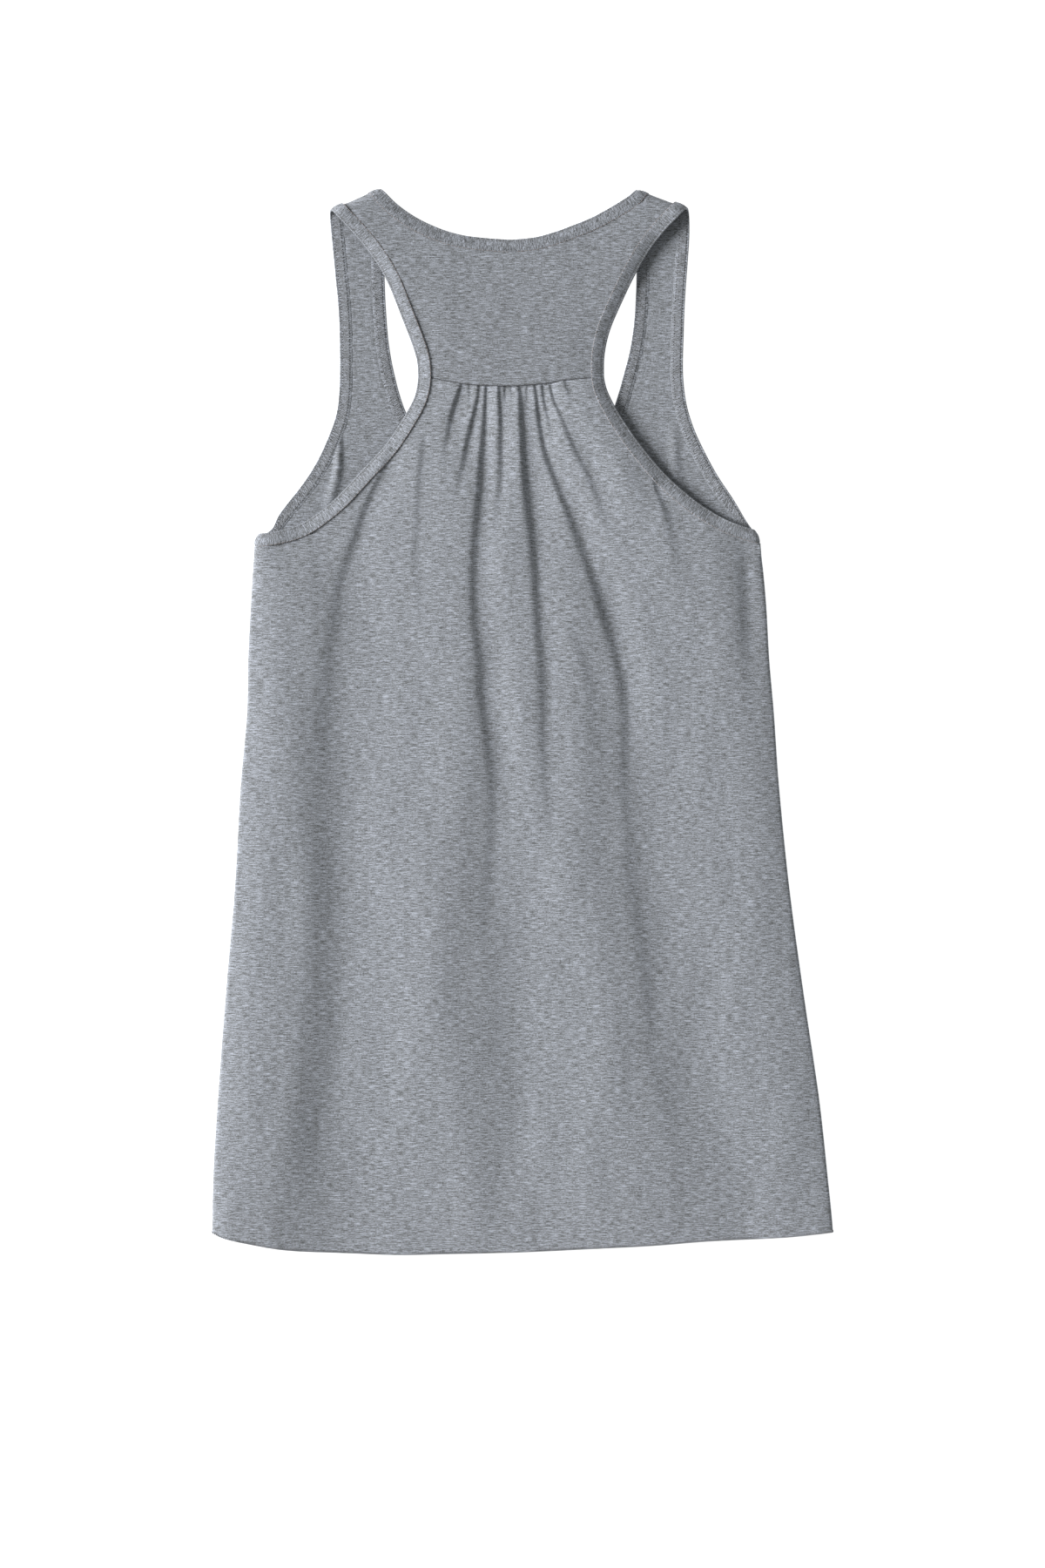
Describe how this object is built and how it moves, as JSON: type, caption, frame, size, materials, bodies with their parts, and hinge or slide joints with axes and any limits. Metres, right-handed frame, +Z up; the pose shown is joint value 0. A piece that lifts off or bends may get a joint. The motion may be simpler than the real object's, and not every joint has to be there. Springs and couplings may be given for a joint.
{
  "type": "racerback tank top laid flat",
  "caption": "Women's racerback tank top in grey heather jersey, laid flat with its gathered back up, with bound neck and armholes.",
  "frame": {"origin": "centre of the bounding box, on the surface that the garment lies on", "axes": "+Y from the hem to the neck, +X across towards the picture's right, +Z up out of the surface, through the front and then the back"},
  "size_m": [0.408, 0.7001, 0.0106],
  "materials": {
    "front_jersey": "soft matte heather jersey",
    "back_jersey": "soft matte heather jersey",
    "yoke_jersey": "soft matte heather jersey",
    "neck_binding_jersey": "stitched self-fabric binding",
    "armhole_binding_jersey": "stitched self-fabric binding"
  },
  "bodies": {
    "root": {"front_panel": "front_jersey", "back_body_gathered": "back_jersey", "back_yoke": "yoke_jersey", "neck_binding": "neck_binding_jersey", "armhole_binding_left": "armhole_binding_jersey", "armhole_binding_right": "armhole_binding_jersey"}
  },
  "joints": []
}
